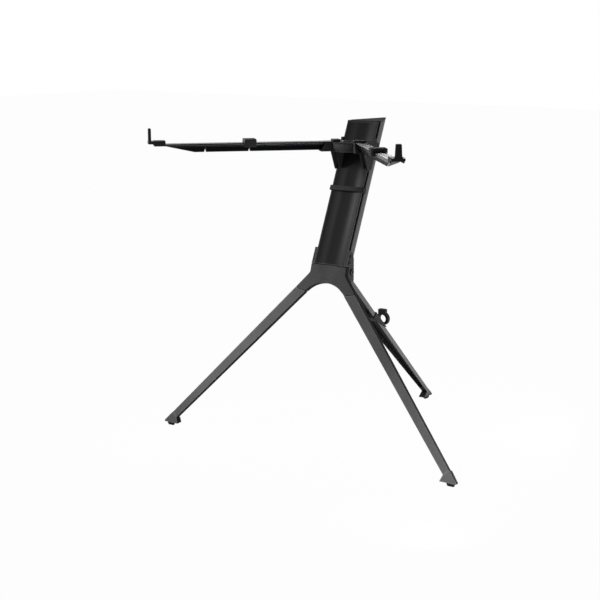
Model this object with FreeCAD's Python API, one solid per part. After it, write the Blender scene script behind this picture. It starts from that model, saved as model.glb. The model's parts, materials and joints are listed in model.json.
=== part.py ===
import FreeCAD, Part
import math
import os

from FreeCAD import Placement, Rotation, Vector

# Keyboard stand: a leaning column on a three-legged base, with one tier of two arms.
# Millimetres. +Z is up, the player sits on the -Y side, +X is the player's right.
# Everything is built round the middle of the seam between column and yoke, on the front
# face, and moved onto the floor at the end.

# Column: a hollow three-sided extrusion, dished in front, grooved in each side, its edge to the rear
COLUMN_WIDTH = 90.0
COLUMN_DEPTH = 97.0
COLUMN_LENGTH = 380.0
COLUMN_LEAN = 23.4
COLUMN_WALL = 3.0
FRONT_DISH = 4.5
FRONT_RIM = 3.0
GROOVE_SETBACK = 5.0
GROOVE_WIDTH = 8.0
GROOVE_DEPTH = 7.0
FLANK_SETBACK = 15.0
REAR_CORNER = 5.0
TOP_SLOPE = 1.2
CAP_THICKNESS = 3.0
CAP_PLUG = 8.0

# Front frame: the cast yoke and the two front legs lie in one leaning plane
FRAME_LEAN = 15.6
YOKE_HALF_WIDTH = 53.0
YOKE_THICKNESS = 13.0
SHOULDER_DROP = 22.0
SHOULDER_RADIUS = 14.0
ARCH_RADIUS = 77.0
DISH_POINTS = 4
YOKE_EDGE = 2.0
STUB_INSET = 0.6
SEAM_TILT = 11.5
SEAM_GAP = 1.3
YOKE_GAP = 1.2
LEG_TOP_X = 74.0
LEG_TOP_DROP = 68.5
LEG_SPLAY = 41.9
LEG_LENGTH = 505.0
LEG_TOP_WIDTH = 29.0
LEG_END_WIDTH = 20.0
LEG_TOP_THICKNESS = 12.5
LEG_END_THICKNESS = 10.5
LEG_WALL = 2.0
LEG_CORNER = 1.8
TONGUE_LENGTH = 45.0

# Rear leg: a tapered channel, open below, that folds on a pin
PIN_BACK = 24.5
PIN_DROP = 15.5
PIN_RADIUS = 4.0
PIN_HEAD_RADIUS = 7.0
PIN_HEAD = 3.0
REAR_SLOPE = 41.8
REAR_SIDE_GAP = 16.0
REAR_END_WIDTH = 18.0
REAR_TOP_DEPTH = 14.5
REAR_END_DEPTH = 11.0
REAR_WALL = 2.5
REAR_CORNER_RADIUS = 1.5

# Feet: a wedge cap in each leg's end, on a rubber pad
FOOT_RISE = 30.4
REAR_FOOT_RISE = 26.0
FOOT_BASE = 48.0
FOOT_DEPTH = 19.0
TOE_CUT = 4.0
PLUG_LENGTH = 25.0
PAD_HEIGHT = 8.5
PAD_LENGTH = 23.0
PAD_WIDTH = 12.5
PAD_TAPER = 2.5
PAD_FROM_TOE = 17.0

# Rear bracket: two cheeks that clasp the column's foot and carry the pin
CHEEK_THICKNESS = 7.0
CHEEK_RISE = 43.0
CHEEK_REACH = 10.0
CHEEK_FALL = 45.0
BRACKET_FLOOR = 4.0
CHEEK_SHOULDER = 17.5
CHEEK_CORNER = 5.0
SHOULDER_ROUND = 8.0
CREST_ROUND = 4.0
CHEEK_SCREWS = (13.0, 29.0)
LUG_THICKNESS = 6.0
LUG_CLEAR = 2.0
SPACER_RADIUS = 6.5

# Tier: a cast bracket that hooks into the column's grooves and carries two arms
TIER_FROM_TOP = 51.3
VERTEX_GAP = 12.3
ARM_HALF_ANGLE = 43.3
ARM_GRIP = 47.0
ARM_LENGTH = 457.0
ARM_WIDTH = 26.0
ARM_HEIGHT = 21.5
ARM_LIP = 4.0
ARM_NECK_WIDTH = 21.6
ARM_NECK_DEPTH = 7.6
ARM_KEEL_WIDTH = 6.0
ARM_WALL = 2.2
ARM_TIP_HEIGHT = 5.2
ARM_TAPER = 72.0
ARM_TIP_FLAT = 10.0
NOTCHES_FROM_END = (218.0, 108.0)
NOTCH_WIDTH = 5.0
NOTCH_HEIGHT = 12.0
SOCKET_BACK = 15.0
SOCKET_BEYOND = 6.5
SOCKET_END_SLANT = 12.0
SOCKET_WALL = 4.0
SOCKET_FLOOR = 3.0
ARM_SCREW_BACK = (4.0, 16.0)
NOSE_REACH = 67.0
NOSE_HALF_WIDTH = 32.0
NOSE_BULGE = 8.5
HUB_TOP_DROP = 1.5
HUB_WALL = 5.0
PLATE_THICKNESS = 5.0
GUSSET_DROP = 71.0
GUSSET_REACH = 37.0
INNER_RIB_OFFSET = 14.0
INNER_RIB_THICKNESS = 4.0
RIB_LIFT = 4.0
RIB_ROOT = 10.0
RIB_TOE = 3.0
PLATE_TIP = 55.0
TAB_HEIGHT = 6.0
TAB_LENGTH = 9.0
TAB_SLANT = 2.0
EAR_REACH = 20.0
EAR_TOP = 7.0
EAR_BOTTOM = 17.0
EAR_ROOT = 22.0
EAR_CORNER = 3.0
LIP_LIFT = 3.0

# Pads and end stops on the arms
PAD_TOP = 9.3
INNER_PAD_BACK = 29.0
INNER_PAD_LENGTH = 20.0
INNER_PAD_WIDTH = 30.0
INNER_PAD_TOP = 4.5
INNER_PAD_CORNER = 2.0
LEFT_PAD_STATION = 270.5
RIGHT_PAD_STATION = 294.0
MID_PAD_LENGTH = 30.0
MID_PAD_WIDTH = 39.0
MID_PAD_SKIRT = 10.3
SADDLE_CORNER = 3.0
SKIRT_CORNER = 2.0
HOOK_LEAD = 1.0
STOP_GRIP = 10.0
STOP_SADDLE = 28.0
STOP_LENGTH = 42.0
STOP_WIDTH = 32.0
STOP_TOP = 8.3
STOP_SKIRT = 5.0
STOP_STEP = 1.0
STOP_CORNER = 5.0
PEG_HEIGHT = 38.5
PEG_THICKNESS = 6.8
PEG_BASE_WIDTH = 19.0
PEG_TOP_WIDTH = 13.0
PEG_FLARE = 1.5
PEG_FLARE_RISE = 4.0
PEG_CORNER = 3.0
PEG_SETBACK = 0.8

# Stop band round the column, and the cable ring on the rear leg
BAND_BELOW_TIER = 128.7
BAND_HEIGHT = 12.0
BAND_THICKNESS = 2.6
BAND_SIDE = 4.6
BAND_CORNER = 2.0
RING_BACK = 236.0
RING_DROP = 167.5
RING_BORE = 10.6
RING_RADIUS = 18.0
RING_WIDTH = 10.0
RING_CROWN = 26.0
CROWN_LEFT = 13.5
CROWN_RIGHT = 9.0
RING_CORNER = 3.0
STEM_WIDTH = 16.0
STEM_FOOT = 30.0
STEM_WALL = 1.5
SLEEVE_START = 212.0
SLEEVE_WALL = 2.5
SLEEVE_SLANT = 55.0
SLEEVE_END = 286.0

# Screws and fits
SCREW_RADIUS = 2.5
SCREW_HEAD_RADIUS = 4.5
SCREW_HEAD = 2.5
HOLE_RADIUS = 2.6
RUNNING_FIT = 0.05
SLIDE_FIT = 0.4
SEAT_FIT = 0.2

BIG = 2000.0
ORIGIN = Vector(0, 0, 0)
X_AXIS = Vector(1, 0, 0)
Y_AXIS = Vector(0, 1, 0)
Z_AXIS = Vector(0, 0, 1)


def sin(angle):
    return math.sin(math.radians(angle))


def cos(angle):
    return math.cos(math.radians(angle))


def tan(angle):
    return math.tan(math.radians(angle))


# Sizes and places of the main frames, worked out from the sizes above
COLUMN_HALF = COLUMN_WIDTH / 2
CHEEK_INNER = COLUMN_HALF + SEAT_FIT
CHEEK_OUTER = CHEEK_INNER + CHEEK_THICKNESS
REAR_TOP_WIDTH = COLUMN_WIDTH - 2 * REAR_SIDE_GAP
TIER_STATION = COLUMN_LENGTH - TIER_FROM_TOP
BAND_STATION = TIER_STATION - BAND_BELOW_TIER
PLATE_INNER = COLUMN_HALF + SLIDE_FIT
PLATE_OUTER = PLATE_INNER + PLATE_THICKNESS
SOCKET_END = PLATE_OUTER / sin(ARM_HALF_ANGLE) + SOCKET_BEYOND
ARM_START = SOCKET_END - ARM_GRIP
ARM_END = ARM_START + ARM_LENGTH
SOCKET_START = ARM_START - SOCKET_BACK
INNER_PAD_STATION = SOCKET_END - INNER_PAD_BACK
STOP_START = ARM_END - STOP_GRIP
COLUMN_FRAME = Placement(ORIGIN, Rotation(X_AXIS, -COLUMN_LEAN))
YOKE_FRAME = Placement(ORIGIN, Rotation(X_AXIS, -FRAME_LEAN))
LEG_FRAME = YOKE_FRAME.multiply(
    Placement(Vector(LEG_TOP_X, 0, -LEG_TOP_DROP), Rotation(Y_AXIS, -LEG_SPLAY)))
FLOOR = -((LEG_TOP_DROP + LEG_LENGTH * cos(LEG_SPLAY)) * cos(FRAME_LEAN) + FOOT_RISE)
PIN = Vector(0, PIN_BACK, -PIN_DROP)
REAR_FRAME = Placement(PIN, Rotation(X_AXIS, 90 - REAR_SLOPE))
REAR_LENGTH = (-PIN_DROP - FLOOR - REAR_FOOT_RISE) / sin(REAR_SLOPE)
TIER = Vector(0, TIER_STATION * sin(COLUMN_LEAN) - VERTEX_GAP, TIER_STATION * cos(COLUMN_LEAN))
TIER_FRAME = Placement(TIER, Rotation())
ARM_FRAME = Placement(TIER, Rotation(Z_AXIS, ARM_HALF_ANGLE - 90))


def placed(shape, placement):
    """A copy of shape, carried from a local frame into the frame that placement gives."""
    copy = shape.copy()
    copy.Placement = placement.multiply(copy.Placement)
    return copy


def mirrored(shape):
    """The same piece for the player's left."""
    return shape.mirror(ORIGIN, X_AXIS)


def outline(corners):
    """A closed wire through corners (u, v) or (u, v, radius), rounded where a radius is given."""
    count = len(corners)
    points = [Vector(c[0], c[1], 0) for c in corners]
    radii = [c[2] if len(c) > 2 else 0.0 for c in corners]
    edges = []
    ends = []
    for i in range(count):
        here = points[i]
        if radii[i] == 0.0:
            ends.append((here, here, None))
            continue
        back = (points[i - 1] - here).normalize()
        ahead = (points[(i + 1) % count] - here).normalize()
        half = back.getAngle(ahead) / 2
        run = radii[i] / math.tan(half)
        bisector = (back + ahead).normalize()
        middle = here + bisector * (radii[i] / math.sin(half) - radii[i])
        ends.append((here + back * run, here + ahead * run, middle))
    for i in range(count):
        start, finish, middle = ends[i]
        if middle is not None:
            edges.append(Part.Arc(start, middle, finish).toShape())
        following = ends[(i + 1) % count][0]
        if (following - finish).Length > 1e-6:
            edges.append(Part.LineSegment(finish, following).toShape())
    return Part.Wire(edges)


def slab_xy(wire, low, high):
    """A prism of a wire drawn in x and y, from z = low to z = high."""
    return Part.Face(wire).extrude(Vector(0, 0, high - low)).translated(Vector(0, 0, low))


def slab_xz(wire, low, high):
    """A prism of a wire drawn in x and z, from y = low to y = high."""
    return placed(slab_xy(wire, -high, -low), Placement(ORIGIN, Rotation(X_AXIS, 90)))


def slab_yz(wire, low, high):
    """A prism of a wire drawn in y and z, from x = low to x = high."""
    return placed(slab_xy(wire, low, high), Placement(ORIGIN, Rotation(Vector(1, 1, 1), 120)))


def block(x0, x1, y0, y1, z0, z1):
    return Part.makeBox(x1 - x0, y1 - y0, z1 - z0, Vector(x0, y0, z0))


def rod(radius, start, end):
    return Part.makeCylinder(radius, (end - start).Length, start, end - start)


def trimmed(shape, point, normal):
    """The part of shape that lies behind the plane through point, on the side away from normal."""
    half_space = placed(block(-BIG, BIG, -BIG, BIG, 0, BIG), Placement(point, Rotation(Z_AXIS, normal)))
    return shape.cut(half_space)


def rounded_section(x0, x1, y0, y1, radius, z):
    wire = outline([(x0, y0, radius), (x1, y0, radius), (x1, y1, radius), (x0, y1, radius)])
    return wire.translated(Vector(0, 0, z))


def screw(place, direction, length):
    """A screw whose head rests at place; its shank runs length along direction."""
    along = Vector(direction).normalize()
    head = rod(SCREW_HEAD_RADIUS, place - along * SCREW_HEAD, place)
    return head.fuse(rod(SCREW_RADIUS, place, place + along * length))


def single(shape):
    """The one solid of a finished piece."""
    refined = shape.removeSplitter()
    solids = refined.Solids
    if len(solids) != 1:
        raise ValueError("expected one solid, found %d" % len(solids))
    return solids[0]


# Column and its cap

def flank_end(grow):
    """Where the column's right flank, moved outwards by grow, runs into the rounded rear edge."""
    start = Vector(COLUMN_HALF + grow, FLANK_SETBACK, 0)
    run = Vector(0, COLUMN_DEPTH - REAR_CORNER, 0) - start
    radius = REAR_CORNER + grow
    heading = math.atan2(run.y, run.x) - math.asin(radius / run.Length)
    reach = math.sqrt(run.Length ** 2 - radius ** 2)
    return start + Vector(math.cos(heading), math.sin(heading), 0) * reach


def column_section(grow, grooved=True):
    """The column's outline in x and y, moved outwards by grow, with or without its grooves."""
    half = COLUMN_HALF + grow
    rim = COLUMN_HALF - FRONT_RIM
    front = -grow
    groove_front = GROOVE_SETBACK + grow
    groove_back = GROOVE_SETBACK + GROOVE_WIDTH - grow
    groove_floor = COLUMN_HALF - GROOVE_DEPTH + grow
    groove = [Vector(half, groove_front, 0), Vector(groove_floor, groove_front, 0),
              Vector(groove_floor, groove_back, 0), Vector(half, groove_back, 0)]
    right = [Vector(rim, front, 0), Vector(half, front, 0)]
    right += groove if grooved else []
    right += [Vector(half, FLANK_SETBACK, 0), flank_end(grow)]
    left = [Vector(-point.x, point.y, 0) for point in reversed(right)]
    edges = [Part.LineSegment(a, b).toShape() for a, b in zip(right, right[1:])]
    edges.append(Part.Arc(right[-1], Vector(0, COLUMN_DEPTH + grow, 0), left[0]).toShape())
    edges += [Part.LineSegment(a, b).toShape() for a, b in zip(left, left[1:])]
    edges.append(Part.Arc(left[-1], Vector(0, FRONT_DISH - grow, 0), right[0]).toShape())
    return Part.Wire(edges)


def chamber_section(shrink):
    """The hollow inside the column: narrow between the grooves and wide behind them."""
    wall = COLUMN_WALL + shrink
    narrow = COLUMN_HALF - GROOVE_DEPTH - wall
    front = FRONT_DISH + wall
    step = GROOVE_SETBACK + GROOVE_WIDTH + wall
    end = flank_end(-wall)
    share = max(step - FLANK_SETBACK, 0) / (end.y - FLANK_SETBACK)
    wide = COLUMN_HALF - wall + (end.x - COLUMN_HALF + wall) * share
    return outline([(-narrow, front), (narrow, front), (narrow, step), (wide, step), (end.x, end.y),
                    (-end.x, end.y), (-wide, step), (-narrow, step)])


def top_plane(drop):
    """A point and the upward normal of the slanting top, moved down by drop."""
    normal = Vector(0, -sin(TOP_SLOPE), cos(TOP_SLOPE))
    front_edge = COLUMN_FRAME.multVec(Vector(0, 0, COLUMN_LENGTH))
    return front_edge - normal * drop, normal


def make_column():
    reach = COLUMN_LENGTH + COLUMN_WIDTH
    body = slab_xy(column_section(0), -COLUMN_DEPTH, reach)
    hollow = slab_xy(chamber_section(0), -COLUMN_WIDTH, reach + COLUMN_WIDTH)
    column = placed(body.cut(hollow), COLUMN_FRAME)
    column = trimmed(column, ORIGIN, -Z_AXIS)
    return single(trimmed(column, *top_plane(CAP_THICKNESS)))


def make_column_top_cap():
    reach = COLUMN_LENGTH + COLUMN_WIDTH
    plate = placed(slab_xy(column_section(0), 0, reach), COLUMN_FRAME)
    point, normal = top_plane(CAP_THICKNESS)
    plate = trimmed(trimmed(plate, *top_plane(0)), point, -normal)
    plug = placed(slab_xy(chamber_section(SEAT_FIT), 0, reach), COLUMN_FRAME)
    low, normal = top_plane(CAP_THICKNESS + CAP_PLUG)
    plug = trimmed(trimmed(plug, point + normal, normal), low, -normal)
    return single(plate.fuse(plug))


# Front frame

def leg_size(station):
    """Width and thickness of a front leg, station millimetres down from its top."""
    share = station / LEG_LENGTH
    width = LEG_TOP_WIDTH + (LEG_END_WIDTH - LEG_TOP_WIDTH) * share
    thickness = LEG_TOP_THICKNESS + (LEG_END_THICKNESS - LEG_TOP_THICKNESS) * share
    return width, thickness


def leg_bar(start, end, inset, radius):
    """A stretch of the leg's tapered bar, inset from its outer faces, in the leg's own frame."""
    wires = []
    for station in (start, end):
        width, thickness = leg_size(station)
        wires.append(rounded_section(-width / 2 + inset, width / 2 - inset, inset, thickness - inset,
                                     radius, -station))
    return Part.makeLoft(wires, True, True)


def leg_seam(gap):
    """A point and the upward normal of the cut between yoke and leg, moved up by gap."""
    normal = YOKE_FRAME.Rotation.multVec(Vector(-sin(SEAM_TILT), 0, cos(SEAM_TILT)))
    return LEG_FRAME.Base + normal * gap, normal


def leg_screw_place():
    """Where the leg's screw head rests on the leg's back face, and the way it points."""
    station = TONGUE_LENGTH / 2
    place = LEG_FRAME.multVec(Vector(0, leg_size(station)[1], -station))
    return place, LEG_FRAME.Rotation.multVec(-Y_AXIS)


def make_front_leg():
    above = LEG_TOP_WIDTH
    bar = leg_bar(-above, LEG_LENGTH, 0, LEG_CORNER)
    hollow = leg_bar(-2 * above, LEG_LENGTH + above, LEG_WALL, LEG_CORNER / 2)
    leg = trimmed(placed(bar.cut(hollow), LEG_FRAME), *leg_seam(0))
    place, direction = leg_screw_place()
    return single(leg.cut(rod(HOLE_RADIUS, place, place + direction * (2 * LEG_WALL))))


def yoke_outline():
    """The yoke seen square on: shoulders, two leg stubs and the arch between them."""
    stub = LEG_TOP_WIDTH / 2 - STUB_INSET
    reach = LEG_TOP_WIDTH
    outer = Vector(LEG_TOP_X + stub * cos(LEG_SPLAY) + reach * sin(LEG_SPLAY), 0,
                   -LEG_TOP_DROP + stub * sin(LEG_SPLAY) - reach * cos(LEG_SPLAY))
    inner = Vector(LEG_TOP_X - stub * cos(LEG_SPLAY) + reach * sin(LEG_SPLAY), 0,
                   -LEG_TOP_DROP - stub * sin(LEG_SPLAY) - reach * cos(LEG_SPLAY))
    arch_corner = inner.z + inner.x / tan(LEG_SPLAY)
    half = YOKE_HALF_WIDTH
    top = YOKE_THICKNESS
    return outline([(-half, top), (-half, -SHOULDER_DROP, SHOULDER_RADIUS), (-outer.x, outer.z),
                    (-inner.x, inner.z), (0, arch_corner, ARCH_RADIUS), (inner.x, inner.z),
                    (outer.x, outer.z), (half, -SHOULDER_DROP, SHOULDER_RADIUS), (half, top)])


def yoke_dish():
    """A shallow trough that carries the column's dished front on down the yoke, fading out.

    Across, it is a cosine wave, so it runs into the flat on both sides without an edge.
    """
    half = COLUMN_HALF - FRONT_RIM
    shares = [i / DISH_POINTS for i in range(-DISH_POINTS, DISH_POINTS + 1)]
    wave = Part.BSplineCurve()
    wave.interpolate([Vector(half * s, FRONT_DISH * (1 + cos(180 * s)) / 2, 0) for s in shares],
                     InitialTangent=X_AXIS, FinalTangent=X_AXIS)
    rim = [Vector(half, 0, 0), Vector(half, -FRONT_DISH, 0),
           Vector(-half, -FRONT_DISH, 0), Vector(-half, 0, 0)]
    edges = [wave.toShape()] + [Part.LineSegment(a, b).toShape() for a, b in zip(rim, rim[1:])]
    run = Vector(0, FRONT_DISH / LEG_TOP_DROP, 1) * (2 * LEG_TOP_DROP)
    return Part.Face(Part.Wire(edges)).extrude(run * 2).translated(-run)


def lug_screw_places():
    """Where the screws that hold the yoke to the bracket's lugs have their heads."""
    x = (REAR_TOP_WIDTH / 2 + LUG_CLEAR + CHEEK_INNER) / 2
    z = -(BRACKET_FLOOR + CHEEK_FALL) / 2
    y = YOKE_THICKNESS + LUG_THICKNESS
    return [YOKE_FRAME.multVec(Vector(side * x, y, z)) for side in (-1, 1)]


def make_front_yoke():
    plate = slab_xz(yoke_outline(), 0, YOKE_THICKNESS)
    front_edges = [edge for edge in plate.Edges if abs(edge.BoundBox.YMax) < 1e-6]
    plate = plate.makeFillet(YOKE_EDGE, front_edges)
    plate = placed(plate.cut(yoke_dish()), YOKE_FRAME)
    plate = trimmed(plate, Z_AXIS * -YOKE_GAP, Z_AXIS)
    point, normal = leg_seam(SEAM_GAP)
    other_normal = Vector(-normal.x, normal.y, normal.z)
    other_point = Vector(-point.x, point.y, point.z)
    plate = trimmed(trimmed(plate, point, -normal), other_point, -other_normal)
    inset = LEG_WALL + SEAT_FIT
    tongue = placed(leg_bar(-LEG_TOP_WIDTH / 2, TONGUE_LENGTH, inset, LEG_CORNER / 2), LEG_FRAME)
    place, direction = leg_screw_place()
    tongue = tongue.cut(rod(HOLE_RADIUS, place, place + direction * LEG_TOP_THICKNESS * 0.7))
    yoke = plate.fuse([tongue, mirrored(tongue)])
    inward = YOKE_FRAME.Rotation.multVec(-Y_AXIS)
    for head in lug_screw_places():
        yoke = yoke.cut(rod(HOLE_RADIUS, head, head + inward * (LUG_THICKNESS + YOKE_THICKNESS * 0.7)))
    return single(yoke)


# Feet

def foot_outline(edge_out, edge_in, along, base_z, dig):
    """The wedge cap from the side, down to dig below its base, and where its toe ends.

    The toe lies on the leg's own outer line, the heel stands straight under the leg's inner edge.
    """
    toe = edge_out + along * ((base_z - edge_out.y) / along.y)
    low = toe + along * (dig / abs(along.y))
    heel = toe.x - FOOT_BASE
    wire = outline([(edge_out.x, edge_out.y), (low.x, low.y), (heel, low.y),
                    (heel, base_z), (edge_in.x, edge_in.y)])
    return wire, toe.x - TOE_CUT


def make_front_foot():
    """The right front foot's cap, and the middle of its pad on the floor."""
    width, thickness = leg_size(LEG_LENGTH)
    local = Placement(Vector(LEG_TOP_X, 0, -LEG_TOP_DROP), Rotation(Y_AXIS, -LEG_SPLAY))
    ends = [local.multVec(Vector(side * width / 2, 0, -LEG_LENGTH)) for side in (1, -1)]
    outer, inner = [Vector(end.x, end.z, 0) for end in ends]
    along = Vector(sin(LEG_SPLAY), -cos(LEG_SPLAY), 0)
    base_z = (FLOOR + PAD_HEIGHT) / cos(FRAME_LEAN)
    wire, toe = foot_outline(outer, inner, along, base_z, FOOT_DEPTH)
    cap = trimmed(slab_xz(wire, 0, FOOT_DEPTH), Vector(toe, 0, 0), X_AXIS)
    flare = (FOOT_DEPTH - thickness) / FOOT_BASE
    cap = trimmed(cap, Vector(toe, thickness, 0), Vector(flare, 1, 0))
    cap = trimmed(placed(cap, YOKE_FRAME), Vector(0, 0, FLOOR + PAD_HEIGHT), -Z_AXIS)
    plug = leg_bar(LEG_LENGTH - PLUG_LENGTH, LEG_LENGTH + LEG_WALL, LEG_WALL + SEAT_FIT, LEG_CORNER / 2)
    back = base_z * sin(FRAME_LEAN) + (thickness + FOOT_DEPTH) / 4 / cos(FRAME_LEAN)
    return single(cap.fuse(placed(plug, LEG_FRAME))), Vector(toe - PAD_FROM_TOE, back, FLOOR)


def make_foot_pad(middle, length, width):
    """A rubber pad that narrows towards the floor."""
    wires = []
    for height, inset in ((0, PAD_TAPER), (PAD_HEIGHT, 0)):
        x, y = length / 2 - inset, width / 2 - inset
        wires.append(rounded_section(-x, x, -y, y, min(x, y) * 0.9, height))
    return Part.makeLoft(wires, True, True).translated(middle)


def make_rear_foot():
    """The rear foot's cap, and the middle of its pad on the floor."""
    width, depth = rear_size(REAR_LENGTH)
    ends = [REAR_FRAME.multVec(Vector(0, side * depth / 2, -REAR_LENGTH)) for side in (1, -1)]
    outer, inner = [Vector(end.y, end.z, 0) for end in ends]
    along = Vector(cos(REAR_SLOPE), -sin(REAR_SLOPE), 0)
    base_z = FLOOR + PAD_HEIGHT
    wire, toe = foot_outline(outer, inner, along, base_z, depth)
    cap = trimmed(slab_yz(wire, -width / 2, width / 2), Vector(0, toe, 0), Y_AXIS)
    cap = trimmed(cap, Vector(0, 0, base_z), -Z_AXIS)
    inset = REAR_WALL + SEAT_FIT
    wires = []
    for station in (REAR_LENGTH - PLUG_LENGTH, REAR_LENGTH + REAR_WALL):
        wide, deep = rear_size(station)
        wires.append(rounded_section(-wide / 2 + inset, wide / 2 - inset, -deep / 2, deep / 2 - inset,
                                     REAR_CORNER_RADIUS / 2, -station))
    plug = placed(Part.makeLoft(wires, True, True), REAR_FRAME)
    return single(cap.fuse(plug)), Vector(0, toe - PAD_FROM_TOE, FLOOR)


# Rear leg, its pin and the bracket that carries it

def rear_size(station):
    """Width and depth of the rear leg, station millimetres down from its pin."""
    share = station / REAR_LENGTH
    width = REAR_TOP_WIDTH + (REAR_END_WIDTH - REAR_TOP_WIDTH) * share
    depth = REAR_TOP_DEPTH + (REAR_END_DEPTH - REAR_TOP_DEPTH) * share
    return width, depth


def rear_bar(start, end, grow, radius):
    """A stretch of the rear leg's outer form, grown all round, in the leg's own frame."""
    wires = []
    for station in (start, end):
        width, depth = rear_size(station)
        wires.append(rounded_section(-width / 2 - grow, width / 2 + grow, -depth / 2 - grow,
                                     depth / 2 + grow, radius, -station))
    return Part.makeLoft(wires, True, True)


def make_rear_leg():
    end = REAR_TOP_DEPTH / 2
    bar = rear_bar(-end, REAR_LENGTH, 0, REAR_CORNER_RADIUS)
    wires = []
    for station in (-2 * end, REAR_LENGTH + end):
        width, depth = rear_size(station)
        wires.append(rounded_section(-width / 2 + REAR_WALL, width / 2 - REAR_WALL, -depth,
                                     depth / 2 - REAR_WALL, REAR_CORNER_RADIUS / 2, -station))
    leg = bar.cut(Part.makeLoft(wires, True, True))
    # The upper end is rounded about the pin
    past = REAR_LENGTH + end
    half = [(end, end, end * 0.99), (end, 0), (2 * end, -end), (2 * end, -past)]
    side = outline(half + [(-c[0],) + tuple(c[1:]) for c in reversed(half)])
    leg = leg.common(slab_yz(side, -REAR_TOP_WIDTH, REAR_TOP_WIDTH))
    hole = rod(PIN_RADIUS + RUNNING_FIT, X_AXIS * -REAR_TOP_WIDTH, X_AXIS * REAR_TOP_WIDTH)
    return single(placed(leg.cut(hole), REAR_FRAME))


def make_pivot_pin():
    end = CHEEK_OUTER
    pin = rod(PIN_RADIUS, PIN - X_AXIS * end, PIN + X_AXIS * end)
    for side in (-1, 1):
        seat = PIN + X_AXIS * (side * end)
        pin = pin.fuse(rod(PIN_HEAD_RADIUS, seat, seat + X_AXIS * (side * PIN_HEAD)))
    return single(pin)


def make_pivot_spacers():
    """Sleeves on the pin that keep the leg in the middle between the cheeks."""
    start = PIN + X_AXIS * (REAR_TOP_WIDTH / 2 + SLIDE_FIT)
    end = PIN + X_AXIS * CHEEK_INNER
    sleeve = rod(SPACER_RADIUS, start, end).cut(rod(PIN_RADIUS + RUNNING_FIT, start, end))
    return Part.makeCompound([sleeve, mirrored(sleeve)])


def bracket_screw_places():
    """Where the screws into the column's grooves rest on the right cheek."""
    y = GROOVE_SETBACK + GROOVE_WIDTH / 2
    return [COLUMN_FRAME.multVec(Vector(0, y, z)) + X_AXIS * CHEEK_OUTER for z in CHEEK_SCREWS]


def yoke_back(z, gap):
    """How far back the yoke's rear face lies at height z, plus a gap."""
    return z * tan(FRAME_LEAN) + YOKE_THICKNESS / cos(FRAME_LEAN) + gap


def make_rear_bracket():
    rear = PIN_BACK + CHEEK_REACH
    crest = COLUMN_FRAME.multVec(Vector(0, 0, CHEEK_RISE))
    crest_back = COLUMN_FRAME.multVec(Vector(0, GROOVE_SETBACK + GROOVE_WIDTH, CHEEK_RISE))
    knee = -CHEEK_FALL * 2 / 3
    cheek = outline([(0, SEAT_FIT), (yoke_back(SEAT_FIT, SEAT_FIT), SEAT_FIT),
                     (yoke_back(knee, SEAT_FIT), knee), (rear, -CHEEK_FALL, CHEEK_CORNER),
                     (rear, CHEEK_SHOULDER, SHOULDER_ROUND), (crest_back.y, crest_back.z, CREST_ROUND),
                     (crest.y, crest.z)])
    bracket = slab_yz(cheek, CHEEK_INNER, CHEEK_OUTER)
    bracket = bracket.fuse(slab_yz(cheek, -CHEEK_OUTER, -CHEEK_INNER))
    # Above the floor the cheeks fill the space beside the column's slanting flanks
    seat = slab_xy(column_section(SEAT_FIT, grooved=False), -COLUMN_DEPTH, COLUMN_LENGTH)
    seat = placed(seat, COLUMN_FRAME)
    behind = placed(block(-BIG, BIG, FLANK_SETBACK, BIG, -BIG, BIG), COLUMN_FRAME)
    filling = trimmed(slab_yz(cheek, -CHEEK_OUTER, CHEEK_OUTER), Z_AXIS * -BRACKET_FLOOR, -Z_AXIS)
    bracket = bracket.fuse(filling.common(behind).cut(seat))
    # The floor lies under the column's whole foot
    floor_front = yoke_back(0, SEAT_FIT)
    layer = block(-BIG, BIG, floor_front, BIG, -BRACKET_FLOOR, -SEAT_FIT)
    bracket = bracket.fuse(block(-CHEEK_INNER, CHEEK_INNER, floor_front, rear, -BRACKET_FLOOR, -SEAT_FIT))
    bracket = bracket.fuse(seat.common(layer))
    # The stop that the opened leg leans against
    above = Vector(0, REAR_TOP_DEPTH / 2 + SLIDE_FIT, 0)
    start = REAR_FRAME.multVec(above)
    slope = tan(REAR_SLOPE)
    web_front = PIN_BACK + CHEEK_REACH / 2
    stop = outline([(web_front, -BRACKET_FLOOR), (web_front, start.z - (web_front - start.y) * slope),
                    (rear, start.z - (rear - start.y) * slope), (rear, -BRACKET_FLOOR)])
    bracket = bracket.fuse(slab_yz(stop, -CHEEK_INNER, CHEEK_INNER))
    # Lugs that screw to the back of the yoke, one each side of the leg
    inner = REAR_TOP_WIDTH / 2 + LUG_CLEAR
    top = -BRACKET_FLOOR
    for side in (-1, 1):
        x0, x1 = sorted((side * inner, side * CHEEK_INNER))
        lug = block(x0, x1, YOKE_THICKNESS + SEAT_FIT / 4, YOKE_THICKNESS + LUG_THICKNESS, -CHEEK_FALL, top)
        bracket = bracket.fuse(placed(lug, YOKE_FRAME))
    bore = X_AXIS * (2 * CHEEK_OUTER)
    bracket = bracket.cut(rod(PIN_RADIUS + RUNNING_FIT, PIN - bore, PIN + bore))
    inward = YOKE_FRAME.Rotation.multVec(-Y_AXIS)
    for head in lug_screw_places():
        bracket = bracket.cut(rod(HOLE_RADIUS, head, head + inward * (2 * LUG_THICKNESS)))
    for head in bracket_screw_places():
        hole = rod(HOLE_RADIUS, head, head - X_AXIS * (2 * CHEEK_THICKNESS))
        bracket = bracket.cut([hole, mirrored(hole)])
    return single(bracket)


# Tier: bracket, arms, pads and end stops

def front_line(z):
    """How far back the column's front lies at height z, in the tier's frame."""
    return VERTEX_GAP + z * tan(COLUMN_LEAN)


def setback(distance):
    """A distance square to the column's front, measured level."""
    return distance / cos(COLUMN_LEAN)


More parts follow.
